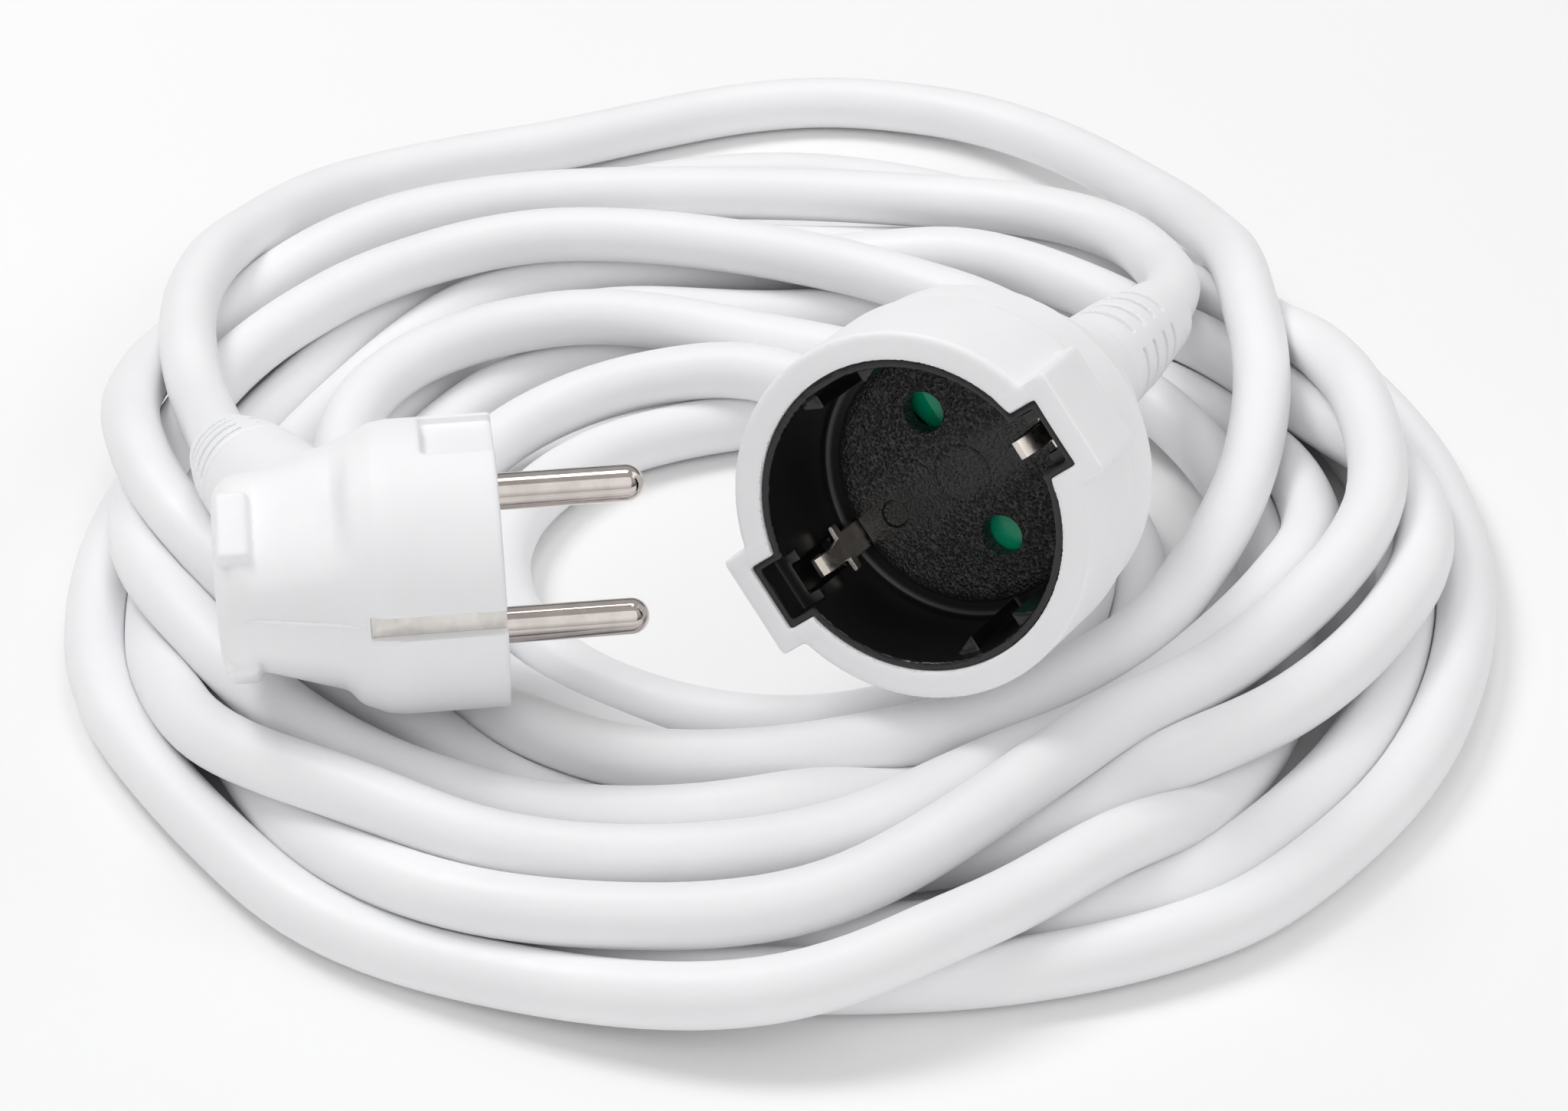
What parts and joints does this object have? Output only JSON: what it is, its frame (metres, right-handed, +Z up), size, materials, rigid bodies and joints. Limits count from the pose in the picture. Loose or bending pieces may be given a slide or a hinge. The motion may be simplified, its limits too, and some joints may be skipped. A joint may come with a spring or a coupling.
{
  "type": "extension cord",
  "caption": "Coiled white mains extension cord with an angled earthed plug at one end and a round shuttered earthed coupler at the other.",
  "frame": {"origin": "middle of the bottom of the whole object's box, on the floor the coil lies on", "axes": "+X to the right and +Y away from the camera in the picture, +Z up; the coupler's face looks towards -Y"},
  "size_m": [0.2, 0.236, 0.0689],
  "materials": {
    "white_pvc": "satin moulded soft plastic",
    "cord_pvc": "satin extruded soft sheath",
    "black_moulding": "fine spark-eroded grain",
    "green_shutter": "smooth gloss",
    "nickel": "polished nickel plate",
    "brass": "bright rolled",
    "steel": "drawn wire",
    "white_moulding": "hard moulded face",
    "brown_core": "extruded insulation",
    "blue_core": "extruded insulation",
    "green_yellow_core": "extruded insulation"
  },
  "bodies": {
    "cord": {"coupler_shell": "white_pvc", "coupler_insert": "black_moulding", "contact_carrier": "black_moulding", "shutter_pivot": "steel", "shutter_spring": "steel", "coupler_earth_strap": "nickel", "live_sleeve": "brass", "neutral_sleeve": "brass", "coupler_crimps": "brass", "coupler_live_core": "brown_core", "coupler_neutral_core": "blue_core", "coupler_earth_core": "green_yellow_core", "coupler_strain_relief": "white_pvc", "plug_body": "white_pvc", "plug_bridge": "white_moulding", "live_pin": "nickel", "neutral_pin": "nickel", "plug_earth_strap": "nickel", "plug_crimps": "brass", "plug_live_core": "brown_core", "plug_neutral_core": "blue_core", "plug_earth_core": "green_yellow_core", "plug_strain_relief": "white_pvc", "coupler_lead": "cord_pvc", "plug_lead": "cord_pvc", "cord_coil": "cord_pvc"},
    "shutter": {"shutter": "green_shutter"}
  },
  "joints": [
    {"name": "shutter_turn", "type": "hinge", "parent": "cord", "child": "shutter", "pos_m": [0.025, -0.04533, 0.04045], "axis": [-0.4271, -0.8758, 0.225], "range_deg": [0, 38], "stiffness_Nm_per_rad": 0.002}
  ]
}
